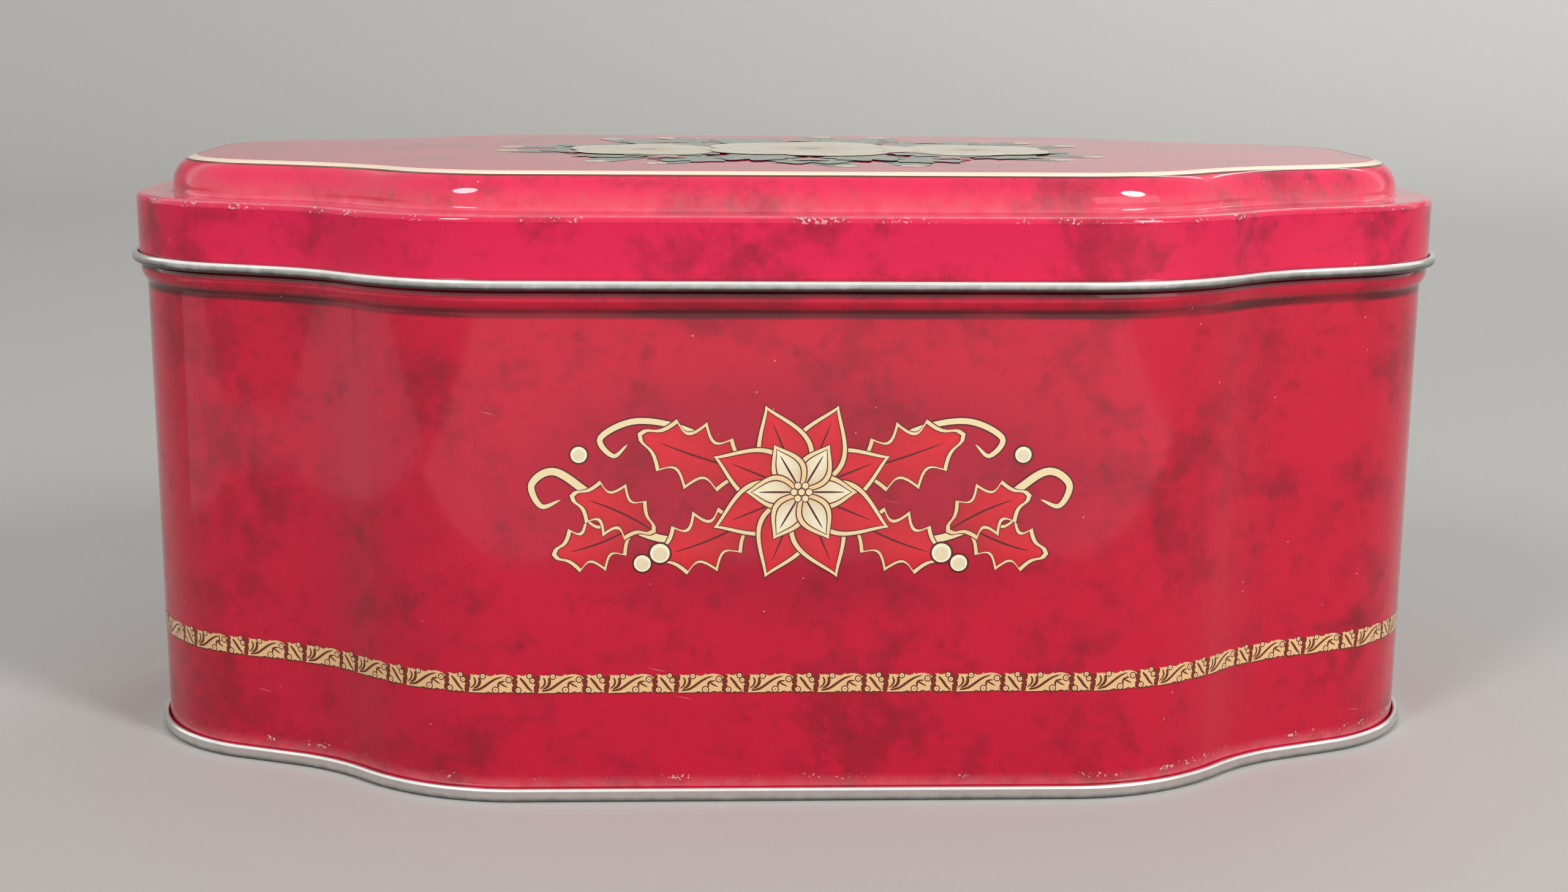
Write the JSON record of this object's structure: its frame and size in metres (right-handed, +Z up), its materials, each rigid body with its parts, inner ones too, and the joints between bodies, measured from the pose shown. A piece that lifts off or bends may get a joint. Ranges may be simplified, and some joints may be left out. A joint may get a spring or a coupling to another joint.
{
  "type": "tin container",
  "caption": "Long tinplate box with waisted corners and rounded ends, and a slip-on lid with a raised panel, for keeping biscuits or sweets.",
  "frame": {"origin": "on the floor under the middle of the box, in the plane that the base seam stands on", "axes": "+Z up, +X along the long front to the viewer's right, +Y from the front to the back"},
  "size_m": [0.2196, 0.1146, 0.0974],
  "materials": {
    "body_print": "printed and varnished tinplate, marbled deep red with gold ornament, glossy",
    "lid_print": "printed and varnished tinplate, deep red with a gold line, glossy",
    "bare_tinplate": "bare bright tinplate"
  },
  "bodies": {
    "tin_body": {"body_wall": "body_print", "base_plate": "bare_tinplate"},
    "tin_lid": {"lid": "lid_print"}
  },
  "joints": [
    {"name": "lid_lift", "type": "slide", "parent": "tin_body", "child": "tin_lid", "axis": [0, 0, 1], "range_m": [0, 0.04]}
  ]
}
